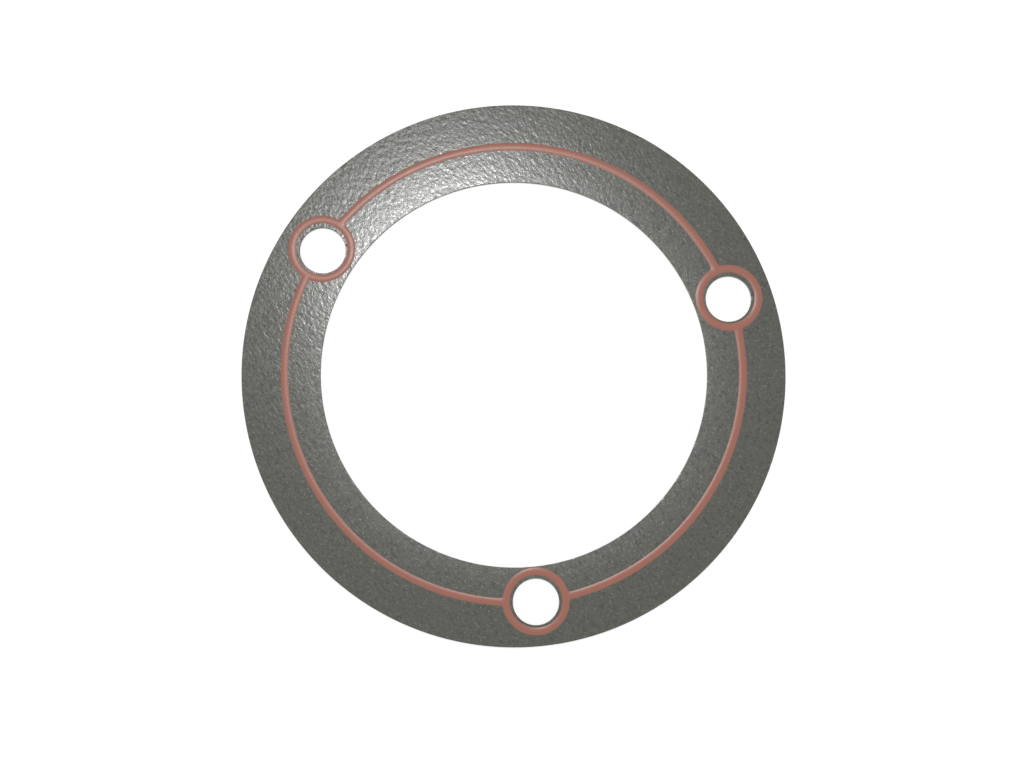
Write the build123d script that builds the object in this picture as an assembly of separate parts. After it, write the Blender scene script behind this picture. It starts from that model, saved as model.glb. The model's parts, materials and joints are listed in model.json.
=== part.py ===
from build123d import *
from math import atan2, cos, degrees, hypot, radians, sin
import os

# Flat ring gasket: a sheet of fibre gasket stock, die-cut, with a bead of
# silicone screen-printed on each face. Millimetres, +Z up. The origin is the
# bore's centre, on the plane that the lower bead rests on.

# Holes
bore_diameter = 75.8
bolt_hole_diameter = 9.0  # clearance for an M8 bolt

# The three bolts are unevenly spaced: one stands alone, the other two are a
# wide step to each side of it.
lone_bolt_angle = 147.3
wide_step = 128.0

# Sheet
sheet_thickness = 0.8
rim_width = 4.1  # web between a bolt hole and the outer edge
die_bevel = 0.08  # where the cutting die presses the upper edges down

# Printed bead, a low dome: two gentle flanks and a rounded crest
bead_width = 1.45
bead_height = 0.06
bead_land = 0.5  # width between the shoulders, before they are rounded
shoulder_radius = 2.0
corner_radius = 0.3  # in plan, where the track runs into a ring
hole_margin = 0.6  # bare sheet between a bolt hole and its ring of bead
bore_margin = 0.3  # bare sheet between a ring of bead and the bore

# The screen that prints the bead is a little large, and on the upper face it
# was laid down slightly off centre.
screen_oversize = 0.15  # on the radius of the bolt circle
upper_shift_x = -0.02
upper_shift_y = 0.18
lower_shift_x = 0.0
lower_shift_y = 0.0

# Places that follow from the sizes above. The web between the bore and a bolt
# hole is as wide as the ring of bead and its two bare margins.
bore_radius = bore_diameter / 2
bolt_hole_radius = bolt_hole_diameter / 2
bore_web = hole_margin + bead_width + bore_margin
bolt_circle_radius = bore_radius + bore_web + bolt_hole_radius
outer_radius = bolt_circle_radius + bolt_hole_radius + rim_width
bolt_angles = [lone_bolt_angle, lone_bolt_angle - wide_step, lone_bolt_angle + wide_step]

track_radius = bolt_circle_radius + screen_oversize
ring_inner_radius = bolt_hole_radius + hole_margin
ring_outer_radius = ring_inner_radius + bead_width
flank_lean = degrees(atan2((bead_width - bead_land) / 2, bead_height))

sheet_bottom = bead_height
sheet_top = sheet_bottom + sheet_thickness


def on_circle(radius, angle):
    """The point at an angle in degrees on a circle round the bore's axis."""
    return radius * cos(radians(angle)), radius * sin(radians(angle))


def discs(circle_radius, disc_radius):
    """One disc at each bolt's angle, centred on a circle round the bore."""
    centres = [on_circle(circle_radius, angle) for angle in bolt_angles]
    return [Pos(*centre) * Circle(disc_radius) for centre in centres]


def top_face(solid):
    return solid.faces().sort_by(Axis.Z)[-1]


def make_sheet():
    """The die-cut sheet, with its upper edges pressed down by the die."""
    outline = Circle(outer_radius) - Circle(bore_radius)
    outline -= discs(bolt_circle_radius, bolt_hole_radius)
    sheet = extrude(outline, sheet_thickness)
    sheet = chamfer(top_face(sheet).edges(), die_bevel)
    return Pos(0, 0, sheet_bottom) * sheet


def is_ring_corner(vertex):
    """Whether a vertex of the bead's plan is where the track meets a ring."""
    centres = [on_circle(track_radius, angle) for angle in bolt_angles]
    reaches = [hypot(vertex.X - x, vertex.Y - y) for x, y in centres]
    return any(abs(reach - ring_outer_radius) < 1e-4 for reach in reaches)


def make_bead_plan():
    """The printed figure: a track on the bolt circle that opens into a ring
    round each bolt hole, with the corners between them rounded."""
    track = Circle(track_radius + bead_width / 2) - Circle(track_radius - bead_width / 2)
    plan = track + discs(track_radius, ring_outer_radius)
    plan = fillet(plan.vertices().filter_by(is_ring_corner), corner_radius)
    return plan - discs(track_radius, ring_inner_radius)


def make_bead():
    """The bead standing on z = 0: the plan raised to its height with flanks
    that lean in to a narrow land, and its shoulders rounded into a dome."""
    bead = extrude(make_bead_plan(), bead_height, taper=flank_lean)
    return fillet(top_face(bead).edges(), shoulder_radius)


def make_upper_bead():
    return Pos(upper_shift_x, upper_shift_y, sheet_top) * make_bead()


def make_lower_bead():
    """The same print, seen from the other face."""
    hanging = mirror(make_bead(), about=Plane.XY)
    return Pos(lower_shift_x, lower_shift_y, sheet_bottom) * hanging


os.makedirs("parts", exist_ok=True)
export_step(make_sheet(), "parts/gasket_sheet.step")
export_step(make_upper_bead(), "parts/upper_bead.step")
export_step(make_lower_bead(), "parts/lower_bead.step")
print("outer diameter", 2 * outer_radius)
print("bolt circle diameter", 2 * bolt_circle_radius)
print("height over both beads", sheet_top + bead_height)
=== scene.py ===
# %% [markdown]
# # A flat ring gasket with a printed silicone bead
# A ring gasket is stamped out of grey fibre sheet less than a millimetre thick. Each face
# carries a low bead of red silicone, pressed through a screen and cured, which runs round
# the ring and loops round every bolt hole. It could be drawn as flat discs with a red line
# painted on. Here every surface is worked out as heights over a plan, so that light catches
# the pressed grain, the rolled edges and the dome of the bead as it does on the real thing.

# %% Load the measured model
import json
import bpy
import numpy as np
from mathutils import Matrix, Vector


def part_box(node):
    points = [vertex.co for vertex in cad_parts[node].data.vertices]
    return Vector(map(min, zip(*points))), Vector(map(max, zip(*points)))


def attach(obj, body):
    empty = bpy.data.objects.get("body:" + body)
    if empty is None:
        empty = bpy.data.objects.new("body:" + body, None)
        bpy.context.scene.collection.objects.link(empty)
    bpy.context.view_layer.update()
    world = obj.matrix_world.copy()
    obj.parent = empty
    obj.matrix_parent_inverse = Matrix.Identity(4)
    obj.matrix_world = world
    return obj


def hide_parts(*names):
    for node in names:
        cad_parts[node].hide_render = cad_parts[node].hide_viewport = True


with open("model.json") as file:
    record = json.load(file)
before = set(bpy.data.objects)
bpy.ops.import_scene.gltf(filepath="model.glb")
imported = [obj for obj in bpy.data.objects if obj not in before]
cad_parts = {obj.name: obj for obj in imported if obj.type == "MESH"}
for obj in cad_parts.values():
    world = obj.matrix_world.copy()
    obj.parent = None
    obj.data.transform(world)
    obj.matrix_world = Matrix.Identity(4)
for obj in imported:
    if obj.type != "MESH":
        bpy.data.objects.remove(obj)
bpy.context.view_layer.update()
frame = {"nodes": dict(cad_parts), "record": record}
mm = 0.001
print("nodes", sorted(frame["nodes"]))

# %% [markdown]
# ## Sizes
# The bore and the bolt holes are read from the model's own mounting places, and the sheet's
# two faces from its box. Only the print's few sizes are given here, because a screen is made
# to its own drawing: it is a little large, and it was laid down slightly off centre on top.

# %% Sizes
mounts = {mount["name"]: mount for mount in frame["record"]["mounts"]}
hole_names = ["front_bolt_hole", "right_bolt_hole", "lone_bolt_hole"]
bore_radius = mounts["main_bore"]["dims"]["r_mm"] * mm
bolt_hole_radius = mounts[hole_names[0]]["dims"]["r_mm"] * mm
hole_centres = np.array([mounts[name]["pos_m"][:2] for name in hole_names])
hole_angles = np.unwrap(np.arctan2(hole_centres[:, 1], hole_centres[:, 0]))
bolt_circle_radius = np.hypot(*hole_centres[0])

sheet_low, sheet_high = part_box("gasket_sheet")
outer_radius = sheet_high.x
sheet_bottom = sheet_low.z
sheet_top = sheet_high.z
bead_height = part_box("upper_bead")[1].z - sheet_top

bead_width = 1.45 * mm
bead_hole_margin = 0.6 * mm
screen_oversize = 0.15 * mm
track_radius = bolt_circle_radius + screen_oversize
ring_radius = bolt_hole_radius + bead_hole_margin + bead_width / 2
upper_print_shift = np.array([-0.02, 0.18]) * mm
lower_print_shift = np.array([0.0, 0.0])
print("bore", bore_radius / mm, "outside", outer_radius / mm, "bead height", bead_height / mm)
print("bolt holes at", np.degrees(hole_angles).round(1), "degrees")

# %% [markdown]
# ## A smooth random height
# Pressed grain, waviness and frayed edges all come from one idea, called gradient noise.
# A slope in a random direction is drawn for every point of a square lattice, and each place
# blends the heights that its four nearest slopes would give it. The seed fixes the draw, so
# the same gasket comes out every time.

# %% Smooth random heights
lattice = 256
lattice_start = (1000.37, 1000.73)


def smooth_field(x, y, feature, seed):
    """A random height near -1 to 1 that changes over about one feature size.

    In words: each lattice point has a unit slope, the height it offers is that slope times
    the way from it, and the four offers are blended by t*t*t*(t*(6t - 15) + 10). Their
    blend stays within about 0.7, so it is raised by 1.4. The lattice repeats, and it starts
    off centre, so that no lattice point lies on the middle of the gasket."""
    draw = np.random.default_rng(seed)
    turn = draw.uniform(0, 2 * np.pi, (lattice, lattice))
    slope_x, slope_y = np.cos(turn), np.sin(turn)
    u, v = x / feature + lattice_start[0], y / feature + lattice_start[1]
    column, row = np.floor(u).astype(int), np.floor(v).astype(int)
    u, v = u - column, v - row

    def offer(step_x, step_y):
        at = ((row + step_y) % lattice, (column + step_x) % lattice)
        return slope_x[at] * (u - step_x) + slope_y[at] * (v - step_y)

    blend_u = u * u * u * (u * (6 * u - 15) + 10)
    blend_v = v * v * v * (v * (6 * v - 15) + 10)
    near = offer(0, 0) + blend_u * (offer(1, 0) - offer(0, 0))
    far = offer(0, 1) + blend_u * (offer(1, 1) - offer(0, 1))
    return 1.4 * (near + blend_v * (far - near))


trial_line = np.linspace(0, 20, 200)
trial = smooth_field(*np.meshgrid(trial_line, trial_line), 1.0, seed=7)
print("smooth field", trial.min().round(2), "to", trial.max().round(2), "rms", trial.std().round(2))

# %% [markdown]
# ## From blocks of grid to a closed skin
# A ring with holes in it isn't one rectangle of grid, but it is several: blocks that share
# their border points. Three small tools serve every piece below. The first welds blocks of
# plan points into one plan. The second lifts the plan to its upper heights, turns a copy
# over for the lower skin, and hangs a wall from every edge that only one cell has. The third
# makes that skin an object, smooth apart from the edges that turn by more than ten degrees.

# %% Weld blocks of grid points
same_point = 1e-5 * mm


def weld(blocks):
    """Joins blocks of plan points, each (rows, columns, 2), into points and square cells.

    In words: cells join neighbours in each block, then points that agree to a hundredth of
    a micrometre become one."""
    points = np.concatenate([block.reshape(-1, 2) for block in blocks])
    cells = []
    first = 0
    for block in blocks:
        rows, columns = block.shape[:2]
        number = first + np.arange(rows * columns).reshape(rows, columns)
        corners = (number[:-1, :-1], number[1:, :-1], number[1:, 1:], number[:-1, 1:])
        cells.append(np.stack(corners, axis=-1).reshape(-1, 4))
        first += rows * columns
    keys = np.round(points / same_point).astype(np.int64)
    _, kept, merged = np.unique(keys, axis=0, return_index=True, return_inverse=True)
    return points[kept], merged.reshape(-1)[np.concatenate(cells)]


# %% Close a plan into a skin
def rim_edges(cells):
    """The edges that only one cell has, as (from, to) in that cell's own direction."""
    edges = np.stack([cells, np.roll(cells, -1, axis=1)], axis=-1).reshape(-1, 2)
    _, where, count = np.unique(
        np.sort(edges, axis=1), axis=0, return_index=True, return_counts=True
    )
    return edges[where[count == 1]]


def close_skin(plan, cells, upper, lower, wall=None):
    """Vertices, faces and each face's strip for the closed skin over a plan.

    In words: the upper skin is (x, y, upper), the lower is (x, y, lower) with its cells
    reversed, and between them each rim edge drops through the wall's rows. wall takes the
    rim's plan points and gives (x, y, z) for each row from the top down. The two skins are
    strip 0, and the strips of the wall count from 1 at the top."""
    edges = rim_edges(cells)
    rim = np.unique(edges)
    rows = wall(plan[rim]) if wall else np.zeros((0, len(rim), 3))
    upper_skin = np.column_stack([plan, upper])
    lower_skin = np.column_stack([plan, lower])
    vertices = np.concatenate([upper_skin, rows.reshape(-1, 3), lower_skin])
    step = np.searchsorted(rim, edges)
    start = len(plan)
    levels = [edges] + [start + level * len(rim) + step for level in range(len(rows))]
    levels.append(start + len(rows) * len(rim) + edges)
    strips = [
        np.column_stack([above[:, 1], above[:, 0], below[:, 0], below[:, 1]])
        for above, below in zip(levels[:-1], levels[1:])
    ]
    under = cells[:, ::-1] + start + len(rows) * len(rim)
    faces = np.concatenate([cells, under, *strips])
    strip = np.repeat(np.arange(len(strips) + 1), [2 * len(cells)] + [len(edges)] * len(strips))
    return vertices, faces, strip


# %% Put a skin into the scene
sharp_angle = np.radians(10)


def make_piece(name, vertices, faces):
    """An object at the origin whose place is in its mesh, shaded smooth up to sharp_angle."""
    mesh = bpy.data.meshes.new(name)
    mesh.from_pydata(vertices.tolist(), [], faces.tolist())
    mesh.shade_smooth()
    mesh.validate()
    mesh.set_sharp_from_angle(angle=sharp_angle)
    piece = bpy.data.objects.new(name, mesh)
    bpy.context.scene.collection.objects.link(piece)
    low, high = vertices.min(axis=0) / mm, vertices.max(axis=0) / mm
    print(name, 2 * len(faces), "triangles from", low.round(3), "to", high.round(3), "mm")
    return piece


# %% [markdown]
# ## The plan of the sheet
# Most of the ring is a plain fan of rays and circles. Round each bolt hole the fan stops,
# and a block takes its place whose rows begin on the hole and end on the fan, so the mesh
# lies along the cut edge of the hole as it does along the bore. A grid of squares trimmed by
# circles would leave saw-toothed edges, and a triangle filler would leave slivers.

# %% Lay out the sheet's plan
edge_roll = 0.1 * mm
cell_size = 0.34 * mm
hole_block_half_angle = np.radians(11.6)
hole_block_rows = 15
columns_per_turn = round(2 * np.pi * (bore_radius + outer_radius) / 2 / cell_size)
ray_radii = np.linspace(
    bore_radius + edge_roll,
    outer_radius - edge_roll,
    round((outer_radius - bore_radius) / cell_size) + 1,
)


def on_circle(radius, angle):
    """Plan points at a radius and an angle about the bore."""
    return np.stack([radius * np.cos(angle), radius * np.sin(angle)], axis=-1)


def fan_angles(start, stop):
    """Angles from start to stop, stepped as evenly as the whole turn is."""
    return np.linspace(start, stop, round((stop - start) / (2 * np.pi) * columns_per_turn) + 1)


def plain_fan(start, stop):
    """The block between two rays: radius along the rows, angle along the columns."""
    radius, angle = np.meshgrid(ray_radii, fan_angles(start, stop), indexing="ij")
    return on_circle(radius, angle)


def hole_block(centre, middle):
    """The block round a bolt hole, from the hole's edge out to the fan's border.

    In words: the border is walked anticlockwise, each border point looks at the hole's
    centre and meets the hole's edge on the way, and the rows divide that line evenly."""
    angles = fan_angles(middle - hole_block_half_angle, middle + hole_block_half_angle)
    border = np.concatenate([
        on_circle(ray_radii, angles[0]),
        on_circle(ray_radii[-1], angles)[1:],
        on_circle(ray_radii[::-1], angles[-1])[1:],
        on_circle(ray_radii[0], angles[::-1])[1:],
    ])
    way = border - centre
    way /= np.linalg.norm(way, axis=1, keepdims=True)
    edge = centre + (bolt_hole_radius + edge_roll) * way
    share = np.linspace(0, 1, hole_block_rows)[:, None, None]
    return edge + share * (border - edge)


next_angles = np.append(hole_angles[1:], hole_angles[0] + 2 * np.pi)
sheet_blocks = [hole_block(*hole) for hole in zip(hole_centres, hole_angles)]
sheet_blocks += [
    plain_fan(here + hole_block_half_angle, there - hole_block_half_angle)
    for here, there in zip(hole_angles, next_angles)
]
sheet_plan, sheet_cells = weld(sheet_blocks)
print("sheet plan", len(sheet_plan), "points", len(sheet_cells), "cells")

# %% [markdown]
# ## The pressed grain of the faces
# The sheet's facing is pressed between textured rolls, which leaves shallow pads and creases
# about a millimetre across, like leather, a little drawn out along the way it was rolled.
# They are only some thousandths of a millimetre high, and it is their slope that the light
# shows. So the heights are two sizes of smooth random field, read in coordinates that are
# turned to the rolling direction, and scaled until their slope is the one that is wanted.

# %% Heights of the pressed grain
grain_slope = np.tan(np.radians(0.45))
large_grain = 0.95 * mm
small_grain = 0.6 * mm
rolling_direction = np.radians(126)
along_stretch = 1.25
across_stretch = 0.87
small_grain_share = 0.55


def grain_shape(x, y, seed):
    """Pads and creases: a large field, bent by a second one, plus a share of a smaller one.

    In words: u runs along the rolling direction and v across it, each divided by its own
    stretch. The small field is read at (u, v), and the large one at (u + bend, v - bend),
    where the bend is a third field, of up to about a third of the large grain."""
    u = (x * np.cos(rolling_direction) + y * np.sin(rolling_direction)) / along_stretch
    v = (y * np.cos(rolling_direction) - x * np.sin(rolling_direction)) / across_stretch
    bend = 0.35 * large_grain * smooth_field(u, v, 1.7 * large_grain, seed + 1)
    large = smooth_field(u + bend, v - bend, large_grain, seed + 2)
    small = smooth_field(u, v, small_grain, seed + 3)
    return large + small_grain_share * small


def grain_heights(plan, seed):
    """Grain over a plan, scaled so that its slope along x is grain_slope."""
    x, y = plan.T
    probe = 0.02 * mm
    shape = grain_shape(x, y, seed)
    slope = (grain_shape(x + probe, y, seed) - shape).std() / probe
    return grain_slope / slope * shape


upper_grain = grain_heights(sheet_plan, seed=20)
lower_grain = grain_heights(sheet_plan, seed=40)
print("grain height", (upper_grain.min() / mm).round(4), "to", (upper_grain.max() / mm).round(4))

# %% [markdown]
# ## The cut edge
# A cutting die presses the sheet's upper edge into a small roll, which keeps its facing,
# before it shears through and leaves the fibres below slightly frayed. The wall is a profile
# carried round every edge: a quarter round at the top, a straight drop, and a crisp lower
# corner. The fraying only ever takes material away, so the gasket keeps its cut size.

# %% Carry the edge's profile round the rims
roll_depth = 0.09 * mm
roll_turns = np.radians([30, 60, 90])
drop_shares = (0.3, 0.65, 1.0)
lower_corner = 0.03 * mm
fray_depth = 0.02 * mm
fray_size = 0.4 * mm


def edge_profile():
    """(way out, height) pairs from the top down: a quarter ellipse, the drop, the corner."""
    roll_out = edge_roll * np.sin(roll_turns)
    roll = np.column_stack([roll_out, sheet_top - roll_depth * (1 - np.cos(roll_turns))])
    drop_top = sheet_top - roll_depth
    drop_bottom = sheet_bottom + lower_corner
    drop = [(edge_roll, drop_top + share * (drop_bottom - drop_top)) for share in drop_shares]
    corner = [(edge_roll - 0.3 * lower_corner, sheet_bottom + 0.3 * lower_corner)]
    corner.append((edge_roll - lower_corner, sheet_bottom))
    return np.concatenate([roll, drop, corner])


def way_out(points):
    """The direction out of the material at each rim point: away from the bore's centre on
    the outside, and towards the centre of the nearest hole on the inside."""
    radius = np.linalg.norm(points, axis=1, keepdims=True)
    direction = np.where(radius > (outer_radius + bolt_circle_radius) / 2, points, -points)
    for centre in hole_centres:
        inward = centre - points
        near = np.linalg.norm(inward, axis=1, keepdims=True) < bolt_hole_radius + 2 * edge_roll
        direction = np.where(near, inward, direction)
    return direction / np.linalg.norm(direction, axis=1, keepdims=True)


def cut_wall(points):
    """Rows of the wall: rim point + way out * (profile's reach - fraying). Only the drop is
    frayed, where the profile has its whole reach."""
    profile = edge_profile()
    reach, height = profile[:, :1], profile[:, 1:]
    x, y = points.T
    fray = smooth_field(x + height, y - 2 * height, fray_size, seed=60)
    fray = fray_depth * np.clip(0.5 + 0.5 * fray, 0, 1) * (reach > 0.9 * edge_roll)
    moved = points + (reach - fray)[..., None] * way_out(points)
    return np.concatenate([moved, np.broadcast_to(height[..., None], fray.shape + (1,))], axis=-1)


sheet_vertices, sheet_faces, sheet_strip = close_skin(
    sheet_plan,
    sheet_cells,
    sheet_top + upper_grain,
    sheet_bottom - lower_grain,
    cut_wall,
)
sheet = make_piece("die_cut_sheet", sheet_vertices, sheet_faces)

# %% [markdown]
# ## The plan of the bead
# The printed figure is a circle that opens into a ring at each bolt hole. Each ring is a
# block round its hole, and each stretch of track between two rings is a block that starts
# and ends on the rings' own border points, so that the two meet without a gap. The rows
# crowd towards the foot, where the silicone thins out. A swept tube would have to be cut and
# patched where the track meets a ring.

# %% Lay out the bead's plan
row_offsets = np.array([0.12, 0.24, 0.36, 0.48, 0.58, 0.66, 0.73, 0.79, 0.84, 0.885, 0.925]) * mm
across = np.concatenate([-row_offsets[::-1], [0.0], row_offsets])
ring_border = ring_radius + across[-1]
bead_step = 0.26 * mm
ring_columns = 62


def meeting_angle(offset):
    """How far from a ring's centre, as an angle about the bore, the line of the track at
    this offset meets the ring's border: the cosine rule in the triangle of the bore's
    centre, the ring's centre and the meeting point."""
    reach = track_radius + offset
    cosine = (reach**2 + track_radius**2 - ring_border**2) / (2 * reach * track_radius)
    return np.arccos(cosine)


def ring_block(middle):
    """Rows from the ring's inner border to its outer one, columns once round the ring.
    The outer border has a column wherever a line of the track meets it."""
    meeting = on_circle(track_radius + across[::-1], meeting_angle(across[::-1]))
    side = np.arctan2(meeting[:, 1], meeting[:, 0] - track_radius)
    outer_arc = np.linspace(-side[0], side[0], ring_columns)
    inner_arc = np.linspace(side[-1], 2 * np.pi - side[-1], ring_columns)
    turn = np.concatenate([outer_arc, side[1:], inner_arc[1:], 2 * np.pi - side[-2::-1]])
    radius, turn = np.meshgrid(ring_radius + across, middle + turn, indexing="ij")
    return on_circle(track_radius, middle) + on_circle(radius, turn)


def track_block(here, there):
    """Rows across the track, columns along it from one ring's border to the next's."""
    lean = meeting_angle(across)[:, None]
    columns = round(track_radius * (there - here) / bead_step)
    share = np.linspace(0, 1, columns)
    angle = here + lean + share * (there - here - 2 * lean)
    return on_circle((track_radius + across)[:, None], angle)


bead_blocks = [ring_block(middle) for middle in hole_angles]
bead_blocks += [track_block(here, there) for here, there in zip(hole_angles, next_angles)]
bead_plan, bead_cells = weld(bead_blocks)
print("bead plan", len(bead_plan), "points", len(bead_cells), "cells")

# %% [markdown]
# ## The dome of the bead
# Liquid silicone draws itself into a low dome before it cures, and where the track runs into
# a ring it fills the corner. So the height depends on the distance to the nearer of the two
# centre lines, and that nearer distance is taken smoothly, which rounds the corners. A
# little waviness in width and height keeps it from looking machined. The screen is cloth,
# and it gives under the squeegee, so the finished figure is also pulled a tenth of a
# millimetre or so in or out, slowly round the ring, and where the blade pressed hardest the
# bead is a few hundredths narrower.

# %% Heights of the bead
corner_fill = 0.6 * mm
foot_reach = bead_width / 2 + 0.075 * mm
mean_spread = 0.985
pressed_narrower = 0.03
hard_press_angle = np.radians(225)
width_waviness = 0.035
height_waviness = 0.04
ripple_height = 0.0005 * mm
sunk_foot = 0.04 * mm
pull_angles = np.radians([0, 42, 105, 127, 165, 205, 275, 330])
pulls = np.array([0.07, -0.17, -0.05, 0.12, 0.1, 0.0, -0.08, -0.09]) * mm


def pulled(plan):
    """The plan as the screen laid it down: each point goes out along its own radius by the
    pull at its angle, which runs straight from one of the pulls to the next."""
    angle = np.arctan2(plan[:, 1], plan[:, 0])
    pull = np.interp(angle, pull_angles, pulls, period=2 * np.pi)
    return plan * (1 + pull / np.linalg.norm(plan, axis=1))[:, None]


def smooth_nearer(first, second, blend):
    """The smaller of two distances, less (blend - their difference)^2 / (4 * blend) where
    they differ by less than the blend."""
    overlap = np.clip(blend - np.abs(first - second), 0, None)
    return np.minimum(first, second) - overlap**2 / (4 * blend)


def centre_line_distance(plan):
    """Distance to the bead's centre line. The track stops where it reaches a ring, so
    inside a ring its distance grows with the way in."""
    track = np.abs(np.linalg.norm(plan, axis=1) - track_radius)
    ring = np.full(len(plan), np.inf)
    for middle in hole_angles:
        reach = np.linalg.norm(plan - on_circle(track_radius, middle), axis=1)
        track = track + 2 * np.clip(ring_radius - reach, 0, None)
        ring = np.minimum(ring, np.abs(reach - ring_radius))
    return np.clip(smooth_nearer(track, ring, corner_fill), 0, None)


def bead_rise(plan, seed):
    """Height above the sheet: crest * (1 - share^2.6)^1.5, where the share is the distance
    over the foot's reach. Past the foot it sinks into the sheet within a tenth of that. The
    crest's own changes are only ever taken off, so the bead keeps within its height."""
    x, y = plan.T
    spread = mean_spread - pressed_narrower * np.cos(np.arctan2(y, x) - hard_press_angle)
    waviness = 1 + width_waviness * smooth_field(x, y, 4 * mm, seed)
    half_width = foot_reach * spread * waviness
    crest = bead_height * (1 - height_waviness * np.abs(smooth_field(x, y, 3 * mm, seed + 1)))
    share = centre_line_distance(plan) / half_width
    ripple = ripple_height * smooth_field(x, y, 0.6 * mm, seed + 2)
    rise = crest * np.clip(1 - share**2.6, 0, 1) ** 1.5 - np.abs(ripple)
    return rise - sunk_foot * np.clip((share - 1) / 0.1, 0, 1)


def make_bead(name, shift, face, side, seed):
    """One face's bead. side is 1 where it stands up from the face, -1 where it hangs."""
    rise = bead_rise(bead_plan, seed)
    anchored = np.full(len(bead_plan), face - side * 2 * sunk_foot)
    free = face + side * rise
    upper, lower = (free, anchored) if side > 0 else (anchored, free)
    vertices, faces, _ = close_skin(pulled(bead_plan) + shift, bead_cells, upper, lower)
    bead = make_piece(name, vertices, faces)
    thickness = bead.data.attributes.new("thickness", "FLOAT", "POINT")
    thickness.data.foreach_set("value", np.tile(np.clip(rise / bead_height, 0, 1), 2))
    return bead


upper_bead = make_bead("upper_silicone_bead", upper_print_shift, sheet_top, side=1, seed=80)
lower_bead = make_bead("lower_silicone_bead", lower_print_shift, sheet_bottom, side=-1, seed=90)

# %% [markdown]
# ## Specks of silicone
# Printing leaves a few red specks beside the bead. Each is a tiny dome on a square grid that
# is squeezed into a disc, which has no pole to pinch, and its rim lies below the face. They
# are one mesh, because they are one spatter, and they sit on the upper face.

# %% Silicone specks
speck_places = np.array([(25.2, 33.9), (35.2, 23.6), (36.5, 29.4), (-46.6, 6.8)]) * mm
speck_radii = np.array([0.16, 0.15, 0.14, 0.14]) * mm
speck_height = 0.04 * mm
speck_rim = 1.15


def speck_plan(centre, radius):
    """A square grid from -1 to 1 drawn into a disc: x*sqrt(1 - y*y/2), y*sqrt(1 - x*x/2)."""
    line = np.linspace(-1, 1, 7)
    x, y = np.meshgrid(line, line, indexing="ij")
    disc = np.stack([x * np.sqrt(1 - y * y / 2), y * np.sqrt(1 - x * x / 2)], axis=-1)
    return centre + speck_rim * radius * disc


speck_blocks = [speck_plan(*speck) for speck in zip(speck_places, speck_radii)]
specks_plan, specks_cells = weld(speck_blocks)
speck_away = np.linalg.norm(specks_plan[:, None] - speck_places, axis=2) / speck_radii
speck_rise = speck_height * (1 - np.min(speck_away, axis=1) ** 2)
specks_vertices, specks_faces, _ = close_skin(
    specks_plan,
    specks_cells,
    sheet_top + speck_rise,
    np.full(len(specks_plan), sheet_top - sunk_foot),
)
specks = make_piece("silicone_specks", specks_vertices, specks_faces)
speck_thickness = specks.data.attributes.new("thickness", "FLOAT", "POINT")
speck_thickness.data.foreach_set("value", np.full(2 * len(specks_plan), 0.5))

# %% [markdown]
# ## Tools for building materials
# A material is a small network of nodes. Writing one out by hand takes many lines, so one
# helper places a node, sets it, and fills or links its inputs, and the others build on it:
# sums, ramps, colour mixes and groups. Everything reads Object coordinates, which are metres
# here, so a grain size can be written in the same millimetres as the shapes.

# %% Node helpers
def place(tree, kind, inputs=None, **settings):
    """Adds one node, applies its settings, and fills or links the inputs by name."""
    node = tree.nodes.new("ShaderNode" + kind)
    for name, value in settings.items():
        setattr(node, name, value)
    for name, value in (inputs or {}).items():
        if isinstance(value, bpy.types.NodeSocket):
            tree.links.new(value, node.inputs[name])
        else:
            node.inputs[name].default_value = value
    return node


def calc(tree, operation, *values, clamp=False):
    """One sum on up to three values. MULTIPLY_ADD is first * second + third."""
    inputs = dict(enumerate(values))
    return place(tree, "Math", inputs, operation=operation, use_clamp=clamp).outputs[0]


def ramp(tree, value, low, high):
    """0 where the value is low, 1 where it is high, and straight in between."""
    return place(tree, "MapRange", {0: value, 1: low, 2: high, 3: 0.0, 4: 1.0}).outputs[0]


def mix_colour(tree, share, first, second):
    """first at share 0, second at share 1."""
    return place(tree, "Mix", {0: share, 6: first, 7: second}, data_type="RGBA").outputs[2]


def new_group(name, inputs, outputs):
    """An empty node group with its sockets: {name: (kind, default)} and {name: kind}.
    Returns the group, the values that it is given and the node that takes its results."""
    tree = bpy.data.node_groups.new(name, "ShaderNodeTree")
    for label, (kind, default) in inputs.items():
        socket = tree.interface.new_socket(label, in_out="INPUT", socket_type=kind)
        if default is not None:
            socket.default_value = default
    for label, kind in outputs.items():
        tree.interface.new_socket(label, in_out="OUTPUT", socket_type=kind)
    given = tree.nodes.new("NodeGroupInput").outputs
    return tree, given, tree.nodes.new("NodeGroupOutput")


def use_group(tree, group, inputs):
    """Places a group in a material and returns its outputs."""
    return place(tree, "Group", inputs, node_tree=group).outputs


number = "NodeSocketFloat"
vector = "NodeSocketVector"

# %% [markdown]
# ## Effects that the finishes share
# Three effects come back in the gasket's finishes. Fine grain is relief too small for
# the mesh, and goes to a Bump node; on the facing it also darkens the hollows as painted shade.
# Speckle marks scattered flecks, such as fibres and dust, and on the facing also painted
# glints: it is the part of a noise that stands above an edge, and a larger share lowers that
# edge. Mottle is slow clouding, because no sheet or print is even from side to side.

# %% Fine grain, speckle and mottle
speckle_edge = 0.78
speckle_drop = -0.45
speckle_sharpness = 14.0


def noise_of_size(group, given, **more):
    """Noise from 0 to 1, read at the given Position, whose features are the given Size."""
    per_metre = calc(group, "DIVIDE", 1.0, given["Size"])
    inputs = {"Vector": given["Position"], "Scale": per_metre, **more}
    return place(group, "TexNoise", inputs).outputs["Fac"]


grain_group, given, put = new_group(
    "fine grain",
    {"Position": (vector, None), "Size": (number, 0.3 * mm), "Detail": (number, 1.0)},
    {"Height": number},
)
noise = noise_of_size(grain_group, given, Detail=given["Detail"])
grain_group.links.new(calc(grain_group, "SUBTRACT", noise, 0.5), put.inputs["Height"])

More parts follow.
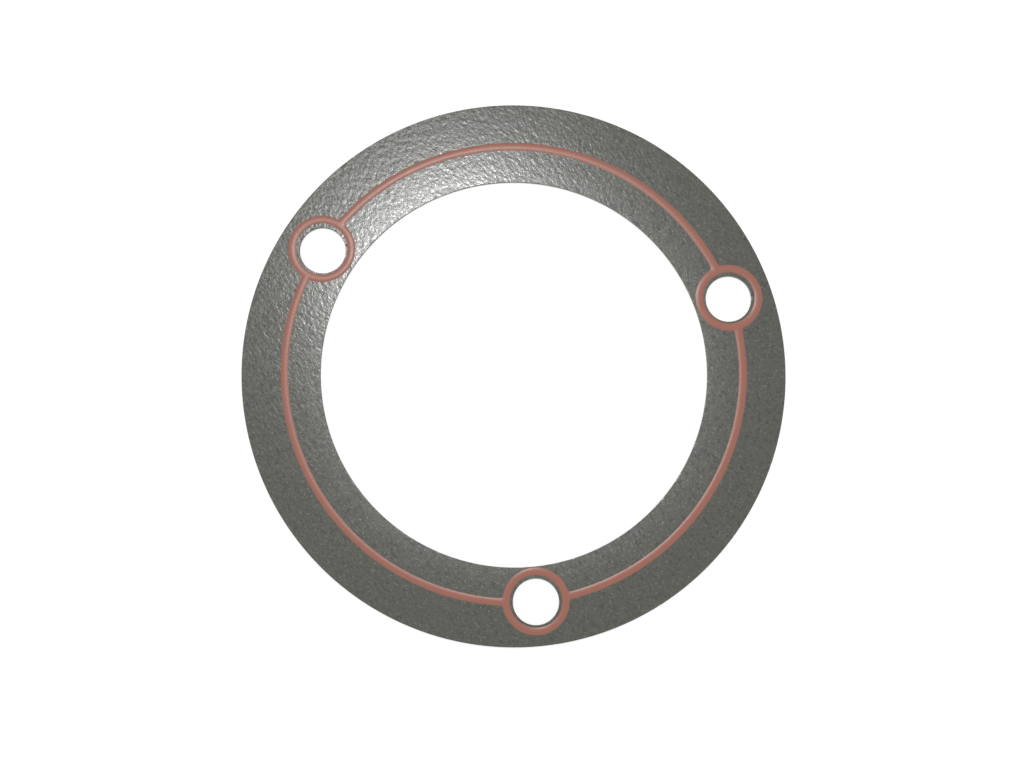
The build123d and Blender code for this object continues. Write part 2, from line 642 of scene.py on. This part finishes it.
speckle_group, given, put = new_group(
    "speckle",
    {"Position": (vector, None), "Size": (number, 0.4 * mm), "Share": (number, 0.1)},
    {"Mask": number},
)
noise = noise_of_size(speckle_group, given, Detail=1.0, Roughness=0.6)
edge = calc(speckle_group, "MULTIPLY_ADD", given["Share"], speckle_drop, speckle_edge)
above = calc(speckle_group, "SUBTRACT", noise, edge)
mask = calc(speckle_group, "MULTIPLY", above, speckle_sharpness, clamp=True)
speckle_group.links.new(mask, put.inputs["Mask"])

mottle_group, given, put = new_group(
    "mottle",
    {"Position": (vector, None), "Size": (number, 6 * mm)},
    {"Cloud": number},
)
mottle_group.links.new(noise_of_size(mottle_group, given, Detail=3.0), put.inputs["Cloud"])
print("groups", [group.name for group in bpy.data.node_groups])

# %% [markdown]
# ## The sheet's facing
# The facing is a thin grey rubbery coat over fibre, faintly green, dull at a glance and
# glossy where it mirrors the lamp. Towards the bore it is lighter, with more pale flecks that
# are partly the fibre's own and partly painted glints. The mesh carries the large grain, and
# a bump about half a millimetre across breaks the mirror of the lamp into sparkle. Painted
# shade darkens its hollows, and it is drawn out along the rolling direction as the large
# grain is.

# %% Facing material
facing_grey = (0.081, 0.082, 0.067, 1)
# A lighter grey that the facing takes on towards the bore.
bore_side_grey = (0.13, 0.133, 0.115, 1)
clouded_grey = (0.04, 0.042, 0.038, 1)
# Pale flecks: partly the fibre's own, partly painted glints.
pale_fleck_and_glint_grey = (0.3, 0.3, 0.28, 1)
# Painted shade for the grain's hollows.
painted_crease_shade = (0.03, 0.032, 0.03, 1)


def new_material(name):
    """An empty node material with its Object coordinates and output."""
    material = bpy.data.materials.new(name)
    material.use_nodes = True
    tree = material.node_tree
    tree.nodes.clear()
    position = place(tree, "TexCoord").outputs["Object"]
    return material, tree, position, tree.nodes.new("ShaderNodeOutputMaterial")


def plan_radius(tree, position):
    """Distance from the bore's axis: the length of (x, y)."""
    flat = place(tree, "VectorMath", {0: position, 1: (1, 1, 0)}, operation="MULTIPLY")
    length = place(tree, "VectorMath", {0: flat.outputs[0]}, operation="LENGTH")
    return length.outputs["Value"]


def bumped_surface(tree, output, colour, roughness, specular, height, bump_distance):
    """Ends a material: a Principled shader, bumped by a height times a distance in metres."""
    bump = place(tree, "Bump", {"Strength": 1.0, "Distance": bump_distance, "Height": height})
    inputs = {"Base Color": colour, "Roughness": roughness, "Specular IOR Level": specular}
    inputs["Normal"] = bump.outputs["Normal"]
    shader = place(tree, "BsdfPrincipled", inputs)
    tree.links.new(shader.outputs[0], output.inputs["Surface"])


def facing_material():
    """Grey facing: colour, roughness and bump from radius, mottle, speckle and grain. The pale
    flecks are partly painted glints, and the grain's hollows get painted shade.
    """
    material, tree, position, output = new_material("pressed grey facing")
    radius = plan_radius(tree, position)
    # The facing's grey lightens towards the bore.
    towards_bore = ramp(tree, radius, outer_radius - 2 * mm, bore_radius)
    bore_side_share = calc(tree, "POWER", towards_bore, 2.6)
    colour = mix_colour(tree, bore_side_share, facing_grey, bore_side_grey)
    cloud = use_group(tree, mottle_group, {"Position": position, "Size": 5 * mm})["Cloud"]
    colour = mix_colour(tree, calc(tree, "MULTIPLY", cloud, 0.16), colour, clouded_grey)
    # Pale flecks, partly the fibre's own and partly painted glints, grow towards the bore.
    pale_flecks_and_glints = use_group(tree, speckle_group, {"Position": position, "Size": 0.33 * mm, "Share": 0.38})
    fleck_and_glint_strength = calc(tree, "MULTIPLY_ADD", bore_side_share, 0.4, 0.28)
    fleck_and_glint_share = calc(tree, "MULTIPLY", pale_flecks_and_glints["Mask"], fleck_and_glint_strength)
    colour = mix_colour(tree, fleck_and_glint_share, colour, pale_fleck_and_glint_grey)
    rolled = place(
        tree,
        "Mapping",
        {
            "Vector": position,
            "Rotation": (0, 0, rolling_direction),
            "Scale": (along_stretch, across_stretch, 1),
        },
        vector_type="TEXTURE",
    ).outputs["Vector"]
    grain = use_group(tree, grain_group, {"Position": rolled, "Size": 0.57 * mm, "Detail": 1.0})
    # Painted shade: the grain's hollows are darkened.
    crease_shade_share = calc(tree, "MULTIPLY", grain["Height"], -2.5, clamp=True)
    colour = mix_colour(tree, crease_shade_share, colour, painted_crease_shade)
    patch = use_group(tree, grain_group, {"Position": rolled, "Size": 0.35 * mm, "Detail": 0.0})
    roughness = calc(tree, "MULTIPLY_ADD", patch["Height"], 0.2, 0.18)
    bumped_surface(tree, output, colour, roughness, 0.5, grain["Height"], 0.018 * mm)
    return material


facing = facing_material()

# %% [markdown]
# ## The raw cut edge
# Where the die sheared the sheet, its core shows: matt and fibrous, without the facing's
# dark coat and gloss. Its pale grey is the fibre's own warm grey lifted by painted light,
# which stands in for the light that the white floor throws onto the wall. It uses the same
# grain and speckle groups with other values, and has hardly any mirror in it. Only the drop
# is cut: the roll above it keeps the facing.

# %% Cut edge material
# Both greys hold painted light from the white floor on top of the fibre's own warm grey.
fibre_and_floor_light = (0.36, 0.34, 0.3, 1)
fleck_and_floor_light = (0.5, 0.475, 0.43, 1)


def cut_edge_material():
    """Matt fibre: a warm grey made pale by painted floor light, with flecks and a rough bump."""
    material, tree, position, output = new_material("raw cut fibre with painted floor light")
    flecks = use_group(tree, speckle_group, {"Position": position, "Size": 0.25 * mm, "Share": 0.5})
    fleck_share = calc(tree, "MULTIPLY", flecks["Mask"], 0.5)
    # The wall's colour, made pale by painted floor light.
    colour = mix_colour(tree, fleck_share, fibre_and_floor_light, fleck_and_floor_light)
    grain = use_group(tree, grain_group, {"Position": position, "Size": 0.18 * mm, "Detail": 3.0})
    bumped_surface(tree, output, colour, 0.9, 0.15, grain["Height"], 0.05 * mm)
    return material


sheet.data.materials.append(facing)
sheet.data.materials.append(cut_edge_material())
is_cut = sheet_strip > len(roll_turns)
sheet.data.polygons.foreach_set("material_index", is_cut.astype(np.int32))
print("cut faces", is_cut.sum(), "of", len(is_cut))

# %% [markdown]
# ## The silicone
# The bead is brick-red silicone, satin, softened to a dusty salmon by the light on it. At
# its foot the print is thin enough for the grey sheet to dull it, so the colour there is
# mixed by the thickness that was stored on the mesh when the dome was worked out.

# %% Silicone material
brick_red = (0.325, 0.125, 0.09, 1)
thin_red = (0.2, 0.11, 0.085, 1)
clouded_red = (0.29, 0.11, 0.075, 1)
dusty_red = (0.4, 0.2, 0.16, 1)
full_colour_thickness = 0.35


def silicone_material():
    """Brick-red silicone, browner at its thin foot, a little clouded and dusty."""
    material, tree, position, output = new_material("brick-red silicone")
    thickness = place(tree, "Attribute", attribute_name="thickness").outputs["Fac"]
    body = ramp(tree, thickness, 0.0, full_colour_thickness)
    colour = mix_colour(tree, body, thin_red, brick_red)
    cloud = use_group(tree, mottle_group, {"Position": position, "Size": 2.5 * mm})["Cloud"]
    colour = mix_colour(tree, calc(tree, "MULTIPLY", cloud, 0.3), colour, clouded_red)
    dust = use_group(tree, speckle_group, {"Position": position, "Size": 0.35 * mm, "Share": 0.2})
    colour = mix_colour(tree, calc(tree, "MULTIPLY", dust["Mask"], 0.25), colour, dusty_red)
    roughness = calc(tree, "MULTIPLY_ADD", cloud, 0.06, 0.23)
    grain = use_group(tree, grain_group, {"Position": position, "Size": 0.4 * mm, "Detail": 1.0})
    bumped_surface(tree, output, colour, roughness, 0.35, grain["Height"], 0.008 * mm)
    return material


silicone = silicone_material()
for piece in (upper_bead, lower_bead, specks):
    piece.data.materials.append(silicone)

# %% [markdown]
# ## What each piece stands for
# The pieces move with the one body of this part and stand in for the plain solids of the
# model. The specks stand in for none.

# %% Tie the pieces to the model
for piece, node, finish in (
    (sheet, "gasket_sheet", "fibre_sheet"),
    (upper_bead, "upper_bead", "silicone_bead"),
    (lower_bead, "lower_bead", "silicone_bead"),
):
    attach(piece, "root")
    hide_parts(node)
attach(specks, "root")

# %% [markdown]
# ## Floor, light and world
# The gasket lies on a plain white floor. Seen directly, the floor and the world glow a
# little, so that they read as clean white without more light on the gasket, and the floor
# still darkens in the gasket's shadow. The light is a soft white surround with one small
# studio lamp high above, whose mirror image falls inside the bore, next to the brightest
# part of the sheet.

# %% White floor
def shows_background(tree):
    """1 for rays that look straight, in a mirror or through glass, otherwise 0."""
    path = place(tree, "LightPath").outputs
    seen = calc(tree, "MAXIMUM", path["Is Camera Ray"], path["Is Glossy Ray"])
    return calc(tree, "MAXIMUM", seen, path["Is Transmission Ray"])


floor_half = 2.0
floor_white = (0.8, 0.8, 0.8, 1)
floor_glow = 0.4
floor_mesh = bpy.data.meshes.new("floor")
floor_corners = floor_half * np.array([(-1, -1, 0), (1, -1, 0), (1, 1, 0), (-1, 1, 0)])
floor_mesh.from_pydata(floor_corners.tolist(), [], [range(4)])
floor = bpy.data.objects.new("floor", floor_mesh)
bpy.context.scene.collection.objects.link(floor)
paper, tree, _, output = new_material("white studio floor")
diffuse = place(tree, "BsdfDiffuse", {"Color": floor_white})
floor_strength = calc(tree, "MULTIPLY", shows_background(tree), floor_glow)
glow = place(tree, "Emission", {"Strength": floor_strength})
both = place(tree, "AddShader", {0: diffuse.outputs[0], 1: glow.outputs[0]})
tree.links.new(both.outputs[0], output.inputs["Surface"])
floor_mesh.materials.append(paper)

# %% White surround
world = bpy.data.worlds.new("white surround")
world.use_nodes = True
bpy.context.scene.world = world
tree = world.node_tree
surround_level = 0.84
lift = calc(tree, "MULTIPLY", shows_background(tree), 1.0 - surround_level)
surround_strength = calc(tree, "ADD", lift, surround_level)
background = tree.nodes["Background"]
background.inputs["Color"].default_value = (1, 1, 1, 1)
tree.links.new(surround_strength, background.inputs["Strength"])


# %% Studio lamp
def look_from(item, eye, aim, roll):
    """Puts a lamp or camera at the eye, facing the aim, with +Y of the frame upwards, and
    then turns it about its own line of sight by the roll in degrees."""
    back = (Vector(eye) - Vector(aim)).normalized()
    right = Vector((0, 1, 0)).cross(back).normalized()
    turned = Matrix.Rotation(np.radians(roll), 3, back)
    right = turned @ right
    axes = Matrix((right, back.cross(right), back)).transposed()
    item.matrix_world = Matrix.Translation(eye) @ axes.to_4x4()
    bpy.context.scene.collection.objects.link(item)


lamp = bpy.data.lights.new("studio lamp", "AREA")
lamp.shape = "ELLIPSE"
lamp.size = 84 * mm
lamp.size_y = 42 * mm
lamp.energy = 0.55
lamp_place = np.array([-20.0, 112.0, 594.5]) * mm
look_from(bpy.data.objects.new("studio lamp", lamp), lamp_place, aim=(0, 0, 0), roll=32)

# %% [markdown]
# ## The camera
# The camera hangs almost straight above the gasket and leans back by about five degrees.
# A longish lens from forty centimetres keeps the circles nearly round.

# %% Camera
camera = bpy.data.cameras.new("camera")
camera.lens = 72.341
camera.sensor_width = 36.0
camera.clip_start = 0.01
camera_object = bpy.data.objects.new("camera", camera)
camera_place = np.array([-11.276, -36.231, 401.452]) * mm + [0, 0, sheet_top]
camera_aim = np.array([-0.494, -2.097, 0.0]) * mm + [0, 0, sheet_top]
look_from(camera_object, camera_place, camera_aim, roll=-0.065)
bpy.context.scene.camera = camera_object
bpy.context.scene.view_settings.view_transform = "Standard"
print("camera", np.linalg.norm(camera_place - camera_aim) / mm, "mm away")
